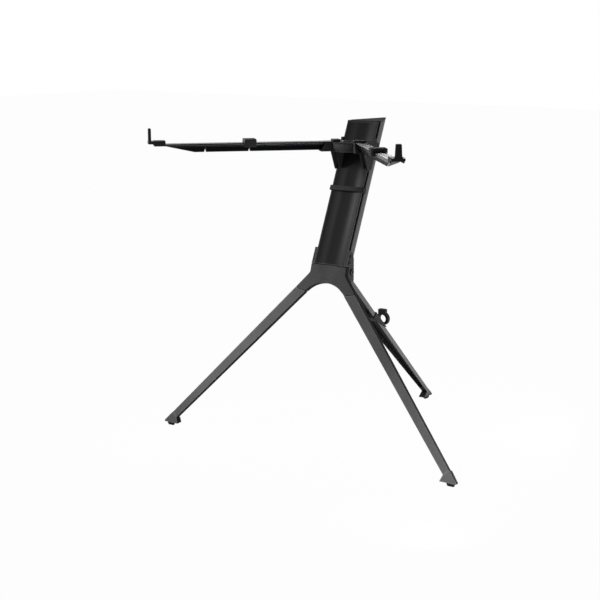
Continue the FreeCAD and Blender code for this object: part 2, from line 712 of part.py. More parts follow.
def arm_profile(grow):
    """The arm's outline in y and z: a lipped top over a keel, moved outwards by grow."""
    lip = ARM_WIDTH / 2 + grow
    neck = ARM_NECK_WIDTH / 2 + grow
    keel = ARM_KEEL_WIDTH / 2 + grow
    under = -ARM_LIP - grow
    bottom = -ARM_HEIGHT - grow
    half = [(lip, grow), (lip, under), (neck, under), (neck, -ARM_NECK_DEPTH), (keel, bottom)]
    return outline(half + [(-y, z) for y, z in reversed(half)])


def arm_hollow(shrink):
    neck = ARM_NECK_WIDTH / 2 - ARM_WALL - shrink
    keel = max(ARM_KEEL_WIDTH / 2 - ARM_WALL / 2 - shrink, 0.5)
    top = -ARM_WALL - shrink
    bottom = -ARM_HEIGHT + ARM_WALL + shrink
    half = [(neck, top), (neck, -ARM_NECK_DEPTH), (keel, bottom)]
    return outline(half + [(-y, z) for y, z in reversed(half)])


def arm_tapered(shape):
    """Shape with the arm's underside cut up towards the tip."""
    start = Vector(ARM_END - ARM_TIP_FLAT - ARM_TAPER, 0, -ARM_HEIGHT)
    end = Vector(ARM_END - ARM_TIP_FLAT, 0, -ARM_TIP_HEIGHT)
    run = end - start
    shape = trimmed(shape, end, Vector(run.z, 0, -run.x))
    low = block(end.x, ARM_END + 1, -ARM_WIDTH, ARM_WIDTH, -2 * ARM_HEIGHT, -ARM_TIP_HEIGHT)
    return shape.cut(low)


def arm_screw_places():
    """Where the arm's screws rest on the socket's outer side, in the arm's own frame."""
    side = ARM_WIDTH / 2 + SEAT_FIT + SOCKET_WALL
    height = -ARM_HEIGHT * 0.55
    return [Vector(SOCKET_END - back, side, height) for back in ARM_SCREW_BACK]


def make_arm():
    bar = slab_yz(arm_profile(0), ARM_START, ARM_END)
    bar = bar.cut(slab_yz(arm_hollow(0), ARM_START - 1, ARM_END + 1))
    bar = arm_tapered(bar)
    slot = ARM_WALL / 3
    for y in (-ARM_WIDTH / 6, ARM_WIDTH / 6):
        bar = bar.cut(block(ARM_START - 1, ARM_END + 1, y - slot, y + slot, -slot, 1))
    for station in [ARM_END - back for back in NOTCHES_FROM_END]:
        notch = outline([(station - NOTCH_WIDTH / 2, -ARM_HEIGHT - 1), (station, NOTCH_HEIGHT - ARM_HEIGHT),
                         (station + NOTCH_WIDTH / 2, -ARM_HEIGHT - 1)])
        bar = bar.cut(slab_xz(notch, -ARM_WIDTH, ARM_WIDTH))
    for place in arm_screw_places():
        bar = bar.cut(rod(HOLE_RADIUS, place, place - Y_AXIS * ARM_WIDTH * 0.6))
    return single(placed(bar, ARM_FRAME))


def make_arm_plug():
    """The moulded filling of the arm's cut-back end."""
    start = ARM_END - ARM_TIP_FLAT - ARM_TAPER * 0.9
    plug = slab_yz(arm_hollow(SEAT_FIT), start, ARM_END - SEAT_FIT)
    return single(placed(arm_tapered(plug), ARM_FRAME))


def make_socket():
    """One arm's trough, flush with the arm's top, in the arm's own frame."""
    half = ARM_WIDTH / 2 + SEAT_FIT + SOCKET_WALL
    bottom = -ARM_HEIGHT - SEAT_FIT - SOCKET_FLOOR
    long_end = SOCKET_END + SOCKET_END_SLANT
    side = outline([(SOCKET_START, 0), (SOCKET_END, 0), (long_end, bottom), (SOCKET_START, bottom)])
    return slab_xz(side, -half, half)


def hub_plan(inset):
    """The hub from above: a rounded nose between the arms and straight flanks to the column."""
    flank = PLATE_OUTER - inset
    nose = -NOSE_REACH + NOSE_BULGE + inset
    half = NOSE_HALF_WIDTH - inset
    back = front_line(0) + setback(GROOVE_SETBACK)
    shoulder = -NOSE_REACH + NOSE_BULGE + (flank - half)
    points = [Vector(half, nose, 0), Vector(flank, shoulder, 0), Vector(flank, back, 0),
              Vector(-flank, back, 0), Vector(-flank, shoulder, 0), Vector(-half, nose, 0)]
    edges = [Part.LineSegment(a, b).toShape() for a, b in zip(points, points[1:])]
    edges.append(Part.Arc(points[-1], Vector(0, nose - NOSE_BULGE, 0), points[0]).toShape())
    return Part.Wire(edges)


def plate_outline():
    """A side plate: a gusset in front of the column and an ear along its side."""
    foot = -GUSSET_DROP
    under = -ARM_HEIGHT - SEAT_FIT - SOCKET_FLOOR
    ear_rear = front_line(0) + setback(EAR_REACH)
    edge = setback(GROOVE_SETBACK + GROOVE_WIDTH + TAB_SLANT)
    tab = front_line(0)
    tab_end = tab - TAB_SLANT + TAB_LENGTH
    return outline([(front_line(under) - setback(GUSSET_REACH), under),
                    (tab - PLATE_TIP, -2 * HUB_TOP_DROP), (tab - 2 * TAB_SLANT, -HUB_TOP_DROP),
                    (tab - TAB_SLANT, TAB_HEIGHT), (tab_end, TAB_HEIGHT),
                    (tab_end + TAB_SLANT, -TAB_HEIGHT / 2), (ear_rear, -EAR_TOP, EAR_CORNER),
                    (ear_rear - TAB_SLANT, -EAR_BOTTOM, EAR_CORNER),
                    (front_line(-EAR_ROOT) + edge, -EAR_ROOT),
                    (front_line(foot) + edge - TAB_SLANT, foot, EAR_CORNER),
                    (front_line(foot), foot - TAB_SLANT, TAB_SLANT)])


def rib_outline():
    """An inner rib, from the nose down to the column's front."""
    under = -ARM_HEIGHT
    foot = RIB_LIFT - GUSSET_DROP
    return outline([(front_line(under) - setback(GUSSET_REACH), under), (front_line(under) + RIB_ROOT, under),
                    (front_line(foot) + RIB_ROOT, foot), (front_line(foot) - RIB_TOE, foot)])


def make_tier_bracket():
    bottom = -ARM_HEIGHT - SEAT_FIT - SOCKET_FLOOR
    hub = slab_xy(hub_plan(0), bottom, -HUB_TOP_DROP)
    pocket = slab_xy(hub_plan(HUB_WALL), bottom - 1, -HUB_TOP_DROP - HUB_WALL)
    bracket = placed(hub.cut(pocket), TIER_FRAME)
    socket = placed(make_socket(), ARM_FRAME)
    plate = placed(slab_yz(plate_outline(), PLATE_INNER, PLATE_OUTER), TIER_FRAME)
    rib_x = PLATE_OUTER - INNER_RIB_OFFSET
    rib = placed(slab_yz(rib_outline(), rib_x - INNER_RIB_THICKNESS, rib_x), TIER_FRAME)
    bracket = bracket.fuse([socket, mirrored(socket), plate, mirrored(plate), rib, mirrored(rib)])
    clear = slab_xy(column_section(SLIDE_FIT), 0, COLUMN_LENGTH + COLUMN_WIDTH)
    bracket = bracket.cut(placed(clear, COLUMN_FRAME))
    # Lips that run in the column's grooves
    lip = block(COLUMN_HALF - GROOVE_DEPTH + SLIDE_FIT, PLATE_INNER + PLATE_THICKNESS / 2,
                GROOVE_SETBACK + SLIDE_FIT, GROOVE_SETBACK + GROOVE_WIDTH - SLIDE_FIT,
                TIER_STATION - GUSSET_DROP / cos(COLUMN_LEAN) + LIP_LIFT, TIER_STATION - EAR_ROOT)
    lip = placed(lip, COLUMN_FRAME)
    bracket = bracket.fuse([lip, mirrored(lip)])
    trough = placed(slab_yz(arm_profile(SEAT_FIT), ARM_START - SEAT_FIT, ARM_END), ARM_FRAME)
    mouth = ARM_WIDTH / 2 + SEAT_FIT
    open_top = placed(block(ARM_START - SEAT_FIT, ARM_END, -mouth, mouth, -ARM_LIP, ARM_HEIGHT), ARM_FRAME)
    cuts = [trough, mirrored(trough), open_top, mirrored(open_top)]
    for place in arm_screw_places():
        hole = placed(rod(HOLE_RADIUS, place, place - Y_AXIS * ARM_WIDTH * 0.6), ARM_FRAME)
        cuts += [hole, mirrored(hole)]
    return single(bracket.cut(cuts))


def make_inner_pad():
    half = INNER_PAD_WIDTH / 2
    wire = outline([(-half, SEAT_FIT / 2), (half, SEAT_FIT / 2), (half, INNER_PAD_TOP, INNER_PAD_CORNER),
                    (-half, INNER_PAD_TOP, INNER_PAD_CORNER)])
    start = INNER_PAD_STATION - INNER_PAD_LENGTH / 2
    return single(placed(slab_yz(wire, start, start + INNER_PAD_LENGTH), ARM_FRAME))


def saddle_outline(width, top, skirt):
    """A saddle over the arm's top whose skirts hook under the lips."""
    half = width / 2
    bore = ARM_WIDTH / 2 + SLIDE_FIT
    roof = SLIDE_FIT
    under = -ARM_LIP - SLIDE_FIT
    hook = ARM_NECK_WIDTH / 2 + SLIDE_FIT
    right = [(half, top, SADDLE_CORNER), (half, -skirt, SKIRT_CORNER), (hook + HOOK_LEAD, -skirt)]
    if skirt > ARM_LIP + SLIDE_FIT + HOOK_LEAD:
        right += [(hook, HOOK_LEAD - skirt), (hook, under), (bore, under)]
    else:
        right[-1] = (bore, -skirt)
    right.append((bore, roof))
    left = [(-c[0],) + tuple(c[1:]) for c in reversed(right)]
    return outline(right + left)


def make_mid_pad(station):
    wire = saddle_outline(MID_PAD_WIDTH, PAD_TOP, MID_PAD_SKIRT)
    start = station - MID_PAD_LENGTH / 2
    return single(placed(slab_yz(wire, start, start + MID_PAD_LENGTH), ARM_FRAME))


def make_end_stop():
    saddle = slab_yz(saddle_outline(STOP_WIDTH, STOP_TOP, STOP_SKIRT), STOP_START, STOP_START + STOP_SADDLE)
    end = STOP_START + STOP_LENGTH
    half = STOP_WIDTH / 2
    root = STOP_START + STOP_SADDLE - STOP_STEP
    tongue = outline([(root, -half), (end, -half, STOP_CORNER), (end, half, STOP_CORNER), (root, half)])
    plate = slab_xy(tongue, SLIDE_FIT, STOP_TOP - STOP_STEP)
    base = PEG_BASE_WIDTH / 2
    top = PEG_TOP_WIDTH / 2
    low = STOP_TOP - 2 * STOP_STEP
    waist = STOP_TOP + PEG_FLARE_RISE
    peg = outline([(-base, low), (base, low), (top + PEG_FLARE, waist), (top, PEG_HEIGHT, PEG_CORNER),
                   (-top, PEG_HEIGHT, PEG_CORNER), (-top - PEG_FLARE, waist)])
    back = end - PEG_SETBACK
    upright = slab_yz(peg, back - PEG_THICKNESS, back)
    return single(placed(saddle.fuse([plate, upright]), ARM_FRAME))


# Stop band and cable ring

def make_stop_band():
    """A strap across the column's front whose ends hook into the grooves."""
    front = -SLIDE_FIT - BAND_THICKNESS
    outer = COLUMN_HALF + SLIDE_FIT + BAND_SIDE
    groove = COLUMN_HALF - GROOVE_DEPTH + SLIDE_FIT
    near = GROOVE_SETBACK + SLIDE_FIT
    far = GROOVE_SETBACK + GROOVE_WIDTH - SLIDE_FIT
    side = COLUMN_HALF + SLIDE_FIT
    right = [(outer, front, BAND_CORNER), (outer, far, BAND_CORNER), (groove, far), (groove, near),
             (side, near), (side, -SLIDE_FIT)]
    left = [(-c[0],) + tuple(c[1:]) for c in reversed(right)]
    strap = slab_xy(outline(right + left), BAND_STATION - BAND_HEIGHT / 2, BAND_STATION + BAND_HEIGHT / 2)
    return single(placed(strap, COLUMN_FRAME))


def make_cable_ring():
    """A sleeve round the rear leg, cut off slanting, that carries an upright cable eye on a stem."""
    sleeve = rear_bar(SLEEVE_START, SLEEVE_END, SEAT_FIT + SLEEVE_WALL, REAR_CORNER_RADIUS + SLEEVE_WALL / 2)
    depth = rear_size(SLEEVE_END)[1]
    rise = depth + SLEEVE_WALL
    sleeve = trimmed(sleeve, Vector(0, rise / 2, -SLEEVE_END), Vector(0, -SLEEVE_SLANT, -rise))
    sleeve = placed(sleeve, REAR_FRAME)
    leg = rear_bar(SLEEVE_START - RING_RADIUS, SLEEVE_END + RING_RADIUS, SEAT_FIT, REAR_CORNER_RADIUS)
    leg = placed(leg, REAR_FRAME)
    centre = PIN + Vector(0, RING_BACK, -RING_DROP)
    near = centre.y - RING_WIDTH / 2
    far = centre.y + RING_WIDTH / 2
    eye = rod(RING_RADIUS, Vector(0, near, centre.z), Vector(0, far, centre.z))
    top = centre.z + RING_CROWN
    crown = outline([(-CROWN_LEFT, centre.z), (CROWN_RIGHT, centre.z), (CROWN_RIGHT, top, RING_CORNER),
                     (-CROWN_LEFT, top, RING_CORNER)])
    neck = centre.z - RING_BORE - STEM_WALL
    toe = REAR_FRAME.multVec(Vector(0, depth / 2, -SLEEVE_END))
    heel = REAR_FRAME.multVec(Vector(0, depth / 2, STEM_FOOT - SLEEVE_END))
    stem = outline([(near, neck), (far, neck), (toe.y, toe.z), (heel.y, heel.z)])
    ring = sleeve.fuse([eye, slab_xz(crown, near, far), slab_yz(stem, -STEM_WIDTH / 2, STEM_WIDTH / 2)])
    bore = rod(RING_BORE, Vector(0, near - RING_WIDTH, centre.z), Vector(0, far + RING_WIDTH, centre.z))
    return single(ring.cut([leg, bore]))


# Screws

def make_bracket_screws():
    length = CHEEK_THICKNESS + GROOVE_DEPTH * 0.8
    right = [screw(place, -X_AXIS, length) for place in bracket_screw_places()]
    return Part.makeCompound(right + [mirrored(s) for s in right])


def make_yoke_screws():
    inward = YOKE_FRAME.Rotation.multVec(-Y_AXIS)
    length = LUG_THICKNESS + YOKE_THICKNESS * 0.6
    return Part.makeCompound([screw(place, inward, length) for place in lug_screw_places()])


def make_leg_screws():
    place, direction = leg_screw_place()
    right = screw(place, direction, LEG_TOP_THICKNESS * 0.6)
    return Part.makeCompound([right, mirrored(right)])


def make_arm_screws():
    right = [placed(screw(place, -Y_AXIS, ARM_WIDTH / 2), ARM_FRAME) for place in arm_screw_places()]
    return Part.makeCompound(right + [mirrored(s) for s in right])


def make_nodes():
    """Every piece by name, in the frame of the seam."""
    leg = make_front_leg()
    foot, foot_middle = make_front_foot()
    rear_foot, rear_middle = make_rear_foot()
    foot_pad = make_foot_pad(foot_middle, PAD_LENGTH, PAD_WIDTH)
    arm = make_arm()
    plug = make_arm_plug()
    inner_pad = make_inner_pad()
    end_stop = make_end_stop()
    return {
        "column": make_column(),
        "column_top_cap": make_column_top_cap(),
        "front_yoke": make_front_yoke(),
        "left_front_leg": mirrored(leg),
        "right_front_leg": leg,
        "left_foot_cap": mirrored(foot),
        "right_foot_cap": foot,
        "left_foot_pad": mirrored(foot_pad),
        "right_foot_pad": foot_pad,
        "rear_bracket": make_rear_bracket(),
        "pivot_pin": make_pivot_pin(),
        "pivot_spacers": make_pivot_spacers(),
        "rear_leg": make_rear_leg(),
        "rear_foot_cap": rear_foot,
        "rear_foot_pad": make_foot_pad(rear_middle, PAD_WIDTH, PAD_LENGTH),
        "cable_ring": make_cable_ring(),
        "stop_band": make_stop_band(),
        "tier_bracket": make_tier_bracket(),
        "left_arm": mirrored(arm),
        "right_arm": arm,
        "left_arm_plug": mirrored(plug),
        "right_arm_plug": plug,
        "left_inner_pad": mirrored(inner_pad),
        "right_inner_pad": inner_pad,
        "left_mid_pad": mirrored(make_mid_pad(LEFT_PAD_STATION)),
        "right_mid_pad": make_mid_pad(RIGHT_PAD_STATION),
        "left_end_stop": mirrored(end_stop),
        "right_end_stop": end_stop,
        "bracket_screws": make_bracket_screws(),
        "yoke_screws": make_yoke_screws(),
        "leg_screws": make_leg_screws(),
        "arm_screws": make_arm_screws(),
    }


def main():
    nodes = make_nodes()
    boxes = [shape.optimalBoundingBox(False, False) for shape in nodes.values()]
    middle_y = (min(b.YMin for b in boxes) + max(b.YMax for b in boxes)) / 2
    stand = Vector(0, -middle_y, -FLOOR)
    os.makedirs("parts", exist_ok=True)
    for name, shape in nodes.items():
        if not shape.isValid():
            raise ValueError(name + " is not a valid solid")
        shape.translated(stand).exportStep(os.path.join("parts", name + ".step"))
    print("moved from the seam by", [round(v, 3) for v in stand])


main()
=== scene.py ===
import json
import math

import bmesh
import bpy
import numpy as np
from bpy.props import FloatProperty, FloatVectorProperty, PointerProperty
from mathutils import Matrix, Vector


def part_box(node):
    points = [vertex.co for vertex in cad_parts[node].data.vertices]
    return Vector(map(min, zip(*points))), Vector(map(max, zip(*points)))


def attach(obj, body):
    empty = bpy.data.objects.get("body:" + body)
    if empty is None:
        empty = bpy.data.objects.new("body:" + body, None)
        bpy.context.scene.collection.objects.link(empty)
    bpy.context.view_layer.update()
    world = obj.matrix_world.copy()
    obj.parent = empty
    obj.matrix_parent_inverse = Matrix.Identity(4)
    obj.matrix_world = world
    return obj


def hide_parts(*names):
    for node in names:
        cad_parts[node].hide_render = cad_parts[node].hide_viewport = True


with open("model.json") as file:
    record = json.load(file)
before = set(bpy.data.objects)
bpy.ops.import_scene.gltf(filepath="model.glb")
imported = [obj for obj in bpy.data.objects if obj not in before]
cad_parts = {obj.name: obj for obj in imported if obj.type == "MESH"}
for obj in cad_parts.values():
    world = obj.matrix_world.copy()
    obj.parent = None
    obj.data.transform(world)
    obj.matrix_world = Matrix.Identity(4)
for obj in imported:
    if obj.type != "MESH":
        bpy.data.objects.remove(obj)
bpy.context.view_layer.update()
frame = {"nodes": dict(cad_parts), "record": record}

bl_info = {
    "name": "Column keyboard stand",
    "version": (1, 0, 0),
    "blender": (4, 5, 0),
    "location": "3D View > Sidebar > Stand",
    "description": "Finishes, moulded pieces and studio for a leaning column keyboard stand",
    "category": "Object",
}

MM = 0.001
BODY = {node: body for body, nodes in frame["record"]["behaviour"]["bodies"].items() for node in nodes}
SIDES = ((-1, "left"), (1, "right"))

# The stand's own places, in millimetres from the middle of the seam between column and yoke
SEAM = np.array([0.0, -122.029, 458.408])
COLUMN_LEAN = math.radians(23.4)
YOKE_LEAN = math.radians(15.6)
LEG_SPLAY = math.radians(41.9)
LEG_TOP = np.array([74.0, 0.0, -68.5])
ARM_TURN = math.radians(46.7)
ARM_VERTEX = np.array([0.0, 118.243, 301.666])
PIN = np.array([0.0, 24.5, -15.5])

# Sizes that mating pieces share, in millimetres
ARM_WIDTH = 26.0
ARM_LIP = 4.0
ARM_NECK = 21.6
ARM_END = 490.0
SOCKET_END = 80.0
CHEEK_OUTER = 52.2
GRIP_TOP = 8.3
SLIDE_FIT = 0.4

# Edges sharper than this show as creases, on moulded forms and on the frame's curved solids
MOULD_CREASE = math.radians(50.0)
SOLID_CREASE = math.radians(28.0)


def linear(code):
    """A colour written as sRGB hex, turned to linear red, green and blue."""
    srgb = np.array([int(code[i:i + 2], 16) for i in (1, 3, 5)]) / 255.0
    rgb = np.where(srgb <= 0.04045, srgb / 12.92, ((srgb + 0.055) / 1.055) ** 2.4)
    return tuple(float(v) for v in rgb)


def colour(title, text, code):
    """A colour that a user may change, with its default given as hex."""
    return FloatVectorProperty(name=title, description=text, subtype="COLOR", size=3, min=0.0, max=1.0,
                               default=linear(code))


def size(title, text, millimetres):
    """A length that a user may change, with its default given in millimetres."""
    return FloatProperty(name=title, description=text, subtype="DISTANCE", unit="LENGTH", min=0.0,
                         default=millimetres * MM)


def power(title, text, watts):
    """A lamp's power that a user may change."""
    return FloatProperty(name=title, description=text, subtype="POWER", min=0.0, default=watts)


class StandFinishes(bpy.types.PropertyGroup):
    """Colours of the stand's materials, and the sizes of their surface textures."""

    column: colour("Column", "Black anodised extrusion", "#1f1f20")
    # Painted light: legs and yoke take lit colours on their front faces and painted shade colours on the rest
    coat: colour("Legs", "Grey textured powder coat", "#5b5b5b")
    leg_shaded_sides: colour("Leg sides", "Powder coat on the legs' faces that aren't blasted", "#1e1f1f")
    # Painted shade: the yoke's colours are darker than the legs', standing in for the shade that falls on it
    yoke: colour("Yoke", "Powder coat on the yoke's blasted front", "#4c4c4c")
    yoke_shaded_sides: colour("Yoke sides", "Powder coat on the yoke's faces that aren't blasted", "#161616")
    casting: colour("Castings", "Black textured coat on the tier and the leg bracket", "#404041")
    arm: colour("Arms", "Gloss black anodised arm", "#0d0d0e")
    plastic: colour("Caps and stops", "Black ABS of the caps, plugs and end stops", "#313132")
    nylon: colour("Band and clip", "Black nylon of the band, the cable clip and the spacers", "#131314")
    # Painted light, in part: the pads' rubber is lighter than the feet's, for light the lamps don't bring
    # there
    pad: colour("Pads", "Dark rubber on the arms", "#525253")
    rubber: colour("Feet", "Black rubber under the feet", "#1c1c1d")
    steel: colour("Screws", "Black oxide steel", "#1d1d1e")
    die_line: size("Die lines", "Spacing of the fine lines that an extrusion carries along its length", 1.6)
    die_wave: size("Die waves", "Spacing of the broad waves across an extrusion's faces", 30.0)
    grit: size("Coat grit", "Size of the grains in the textured coats", 3.0)
    spark: size("Mould texture", "Size of the grains in the moulded plastic", 1.1)
    edge: size("Edge break", "Radius at which the light breaks along edges", 0.8)
    # Painted highlight: how far from an edge the coats are painted lighter
    highlight_reach: size("Edge polish", "How far from an edge the coats are polished lighter", 5.0)
    # Painted shade: how far from a seam or inside corner the coats are painted darker
    shade_reach: size("Seam tone", "How far from a seam or inside corner the coats darken", 4.0)


class StandMouldings(bpy.types.PropertyGroup):
    """Sizes of the pieces that are moulded or turned."""

    pad_length: size("Pad length", "Length of the sliding pads along the arm", 30.0)
    peg_height: size("Peg height", "Height of the end stops above the arm", 38.5)
    tread: size("Foot tread", "Spacing of the grooves round the rubber feet", 2.6)
    head: size("Screw head", "Radius of the screws' heads", 4.5)
    socket: size("Screw socket", "Width across the flats of the screws' sockets", 4.0)


class StandStage(bpy.types.PropertyGroup):
    """Camera and studio."""

    lens: FloatProperty(name="Lens", description="Focal length on a 36 mm sensor", unit="CAMERA",
                        default=82.56)
    camera_place: FloatVectorProperty(name="Camera", description="Where the camera stands",
                                      subtype="TRANSLATION", unit="LENGTH", size=3,
                                      default=(1.89394, -2.91787, 1.0714))
    camera_turn: FloatVectorProperty(name="Camera turn", description="Which way the camera looks",
                                     subtype="EULER", unit="ROTATION", size=3,
                                     default=(math.radians(78.26), 0.0, math.radians(35.33)))
    floor: colour("Floor", "Pale paper sweep", "#bcbcbc")
    left: power("Left lamp", "Lamp in front of the left leg", 1.2)
    right: power("Right lamp", "Low lamp by the right foot", 1.15)
    rear: power("Rear lamp", "Low lamp beside the rear leg", 4.0)
    strip: power("Strip lamp", "Narrow lamp that draws a sheen down the column", 0.82)
    back: power("Back lamp", "Lamp behind the column that draws the arms' gloss", 0.32)
    top: power("Top lamp", "Lamp overhead", 2.0)
    room: FloatProperty(name="Room", description="Strength of the even light of the room", default=0.08)


# Forms: profiles carried along paths and turned about axes, worked out as whole arrays in millimetres

def unit(arrows):
    """Arrows of the same directions, each of length one."""
    return arrows / np.linalg.norm(arrows, axis=-1, keepdims=True)


def turned(axis, angle):
    """The matrix of a turn about one of the frame's axes: 0 for x, 1 for y, 2 for z."""
    matrix = np.eye(3)
    a, b = (axis + 1) % 3, (axis + 2) % 3
    matrix[[a, b], [a, b]] = math.cos(angle)
    matrix[a, b] = -math.sin(angle)
    matrix[b, a] = math.sin(angle)
    return matrix


def rounded(corners, steps=6):
    """A closed outline whose corners are arcs.

    A corner is (u, v, r). The circle of radius r that touches both of its sides has its centre on the
    bisector, r over the sine of the half angle away. The points turn evenly from one touching point to the
    other: each is a sum of the two end radii, weighted by the sines of the parts of the turn.
    """
    corners = np.array(corners)
    at, radius = corners[:, :2], corners[:, 2:]
    back = unit(np.roll(at, 1, axis=0) - at)
    ahead = unit(np.roll(at, -1, axis=0) - at)
    half = np.arccos(np.sum(back * ahead, axis=1, keepdims=True)) / 2.0
    centre = at + unit(back + ahead) * radius / np.sin(half)
    first = at + back * radius / np.tan(half) - centre
    last = at + ahead * radius / np.tan(half) - centre
    turn = (np.pi - 2.0 * half)[:, None]
    share = np.linspace(0.0, 1.0, steps)[None, :, None]
    arcs = np.sin((1.0 - share) * turn) * first[:, None] + np.sin(share * turn) * last[:, None]
    return (centre[:, None] + arcs / np.sin(turn)).reshape(-1, 2)


def oblong(length, width, corner, steps=8):
    """A rounded oblong about the origin."""
    x, y = length / 2.0, width / 2.0
    return rounded([(-x, -y, corner), (x, -y, corner), (x, y, corner), (-x, y, corner)], steps)


def soft_ends(start, end, radius, steps=6):
    """Stations and insets of a run that is rounded over at both ends.

    Along a quarter turn the station moves in by radius times one less the cosine, while the inset falls
    from radius to nothing as one less the sine.
    """
    angle = np.linspace(0.0, np.pi / 2.0, steps)
    rise = radius * (1.0 - np.cos(angle))
    inset = radius * (1.0 - np.sin(angle))
    return np.concatenate((start + rise, end - rise[::-1])), np.concatenate((inset, inset[::-1]))


def carried(line, stations, insets, share=1.0):
    """A profile carried along x: each ring is the outline, moved inwards across itself by its inset.

    Inwards is square to the chord between a point's neighbours, on the side that the outline's area gives.
    A point moves by its own share of the inset.
    """
    chord = unit(np.roll(line, -1, axis=0) - np.roll(line, 1, axis=0))
    area = np.sum(line[:, 0] * np.roll(line[:, 1], -1) - np.roll(line[:, 0], -1) * line[:, 1])
    inwards = np.sign(area) * np.stack((-chord[:, 1], chord[:, 0]), axis=1)
    moves = np.broadcast_to(share, len(line))[:, None] * inwards
    rings = line[None] + np.asarray(insets)[:, None, None] * moves[None]
    along = np.broadcast_to(np.asarray(stations)[:, None, None], rings.shape[:2] + (1,))
    return np.concatenate((along, rings), axis=2)


def standing(rings):
    """Rings that were carried along x, stood up so that they run along z."""
    return rings[..., [1, 2, 0]]


def hexagon(angle, across):
    """Radius of a hexagon: half its width across flats, over the cosine of the angle to the nearest flat."""
    sixth = np.pi / 3.0
    return across / 2.0 / np.cos(np.mod(angle, sixth) - sixth / 2.0)


def turning(stations, radii, around=36):
    """A surface turned about x: at each station a circle, or any closed line given by radius and angle."""
    angle = np.linspace(0.0, 2.0 * np.pi, around, endpoint=False)
    radius = np.stack([np.broadcast_to(r(angle) if callable(r) else r, angle.shape) for r in radii])
    along = np.broadcast_to(np.asarray(stations)[:, None], radius.shape)
    return np.stack((along, radius * np.cos(angle), radius * np.sin(angle)), axis=-1)


def socket_screw(shank, head, socket):
    """A screw along x, its head outwards from 0: a shank, a head with a soft edge, and a six-sided socket."""
    body, bevel, under, tall, floor = 2.5, 0.6, 0.05, 2.5, 0.9
    below, inset = (0.8, 0.25, 0.0), (0.0, 0.25, 0.9)

    def hole(angle):
        return hexagon(angle, socket)

    stations = (-shank, bevel - shank, -under, 0.0, *(tall - step for step in below), tall, floor)
    radii = (body - bevel, body, body, head, *(head - step for step in inset), hole, hole)
    return turning(stations, radii)


def two_headed_pin(seat, head, shank, across):
    """A pin along x that is headed at both ends outside seat, each head with a soft edge and a socket.

    One end goes from the socket's floor over the head's rim to the shank, and the other is its mirror image.
    """
    def hole(angle):
        return hexagon(angle, across)

    above = np.array([1.4, 3.0, 3.0, 2.7, 2.0, 0.01, 0.0])
    radii = [hole, hole, head - 1.0, head - 0.3, head, head, shank]
    ends = seat + above
    return turning(np.concatenate((-ends, ends[::-1])), radii + radii[::-1])


def foot(extent, tread):
    """A rubber foot on the floor: a rounded oblong that narrows downwards, with grooves round its side.

    The oblong is drawn in by its taper's share of the height, and by a cosine wave of the tread's spacing
    that dies out at the top. Its lower edge is rounded over.
    """
    length, width, height = extent
    ripple, edge, taper, corner = 0.35, 0.9, 2.4, 0.42
    rise = np.linspace(0.0, 1.0, 34)
    wave = ripple * (1.0 - np.cos(2.0 * np.pi * rise * height / tread)) * (1.0 - rise)
    rounding = edge * np.clip(1.0 - rise * height / edge, 0.0, 1.0) ** 2
    line = oblong(length, width, corner * min(length, width), 10)
    return standing(carried(line, rise * height, taper * (1.0 - rise) + wave + rounding))


def peg(middle, height):
    """The stop's upright: an oblong carried upwards, wide at its foot, straight above, rounded at the top.

    Its half width is a straight taper plus a flare that dies away exponentially above the foot, and a
    quarter turn draws both directions in at the top.
    """
    low, bend, thick, core, edge = 5.3, 2.4, 6.8, 1.0, 0.9
    wide, taper, flare, fade = 8.0, 1.5, 1.5, 2.0
    rows = 25
    angle = np.linspace(0.0, np.pi / 2.0, 8)
    straight = np.linspace(low, height - bend, rows + 1)[:-1]
    up = np.concatenate((straight, height - bend * (1.0 - np.sin(angle))))
    inset = np.concatenate((np.zeros(rows), bend * (1.0 - np.cos(angle))))
    above = np.clip(up - GRIP_TOP, 0.0, None)
    half = wide - taper * above / (height - GRIP_TOP) + flare * np.exp(-above / fade)
    ring = oblong(thick, 2.0 * core, edge)
    middle_line = np.sign(ring[None, :, 1]) * (half - inset - core)[:, None]
    across = ring[None, :, 1] + middle_line
    along = middle + ring[None, :, 0] * (1.0 - inset / thick * 2.0)[:, None]
    return np.stack((along, across, np.broadcast_to(up[:, None], across.shape)), axis=-1)


def saddle(width, top, skirt, hooked):
    """A saddle's outline over an arm: one half goes over the lip, and under it if hooked, and is mirrored."""
    shoulder, hem, lead, edge = 3.0, 1.6, 1.0, 0.4
    half, bore, neck = width / 2.0, ARM_WIDTH / 2.0 + SLIDE_FIT, ARM_NECK / 2.0 + SLIDE_FIT
    under = -ARM_LIP - SLIDE_FIT
    right = [(half, top, shoulder), (half, -skirt, hem)]
    if hooked:
        right += [(neck + lead, -skirt, edge), (neck, lead - skirt, edge), (neck, under, edge),
                  (bore, under, edge)]
    else:
        right.append((bore, -skirt, edge))
    right.append((bore, SLIDE_FIT, edge))
    return rounded(right + [(-u, v, r) for u, v, r in reversed(right)])


def saddle_run(width, top, skirt, hooked, start, end, radius):
    """A saddle along an arm, its ends rounded over on the outside only.

    A point's share of the rounding runs from 0 to 1 as its width or its height, whichever is greater as a
    part of the saddle's own, goes from 0.85 to 0.95.
    """
    line = saddle(width, top, skirt, hooked)
    reach = np.maximum(np.abs(line[:, 0]) / (width / 2.0), line[:, 1] / top)
    outside, blend = 0.85, 0.1
    share = np.clip((reach - outside) / blend, 0.0, 1.0)
    return carried(line, *soft_ends(start, end, radius), share)


def on_arm(rings):
    """Points in the right arm's own frame, along it, across it and up, taken to the stand's frame."""
    return rings @ turned(2, -ARM_TURN).T + ARM_VERTEX


def mirrored(rings):
    """The same points on the stand's other side."""
    return rings * (-1.0, 1.0, 1.0)


def stands_for(piece, node):
    """Links a finished piece that moves with a node's body and is shown in its place."""
    bpy.context.scene.collection.objects.link(piece)
    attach(piece, BODY[node])
    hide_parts(node)


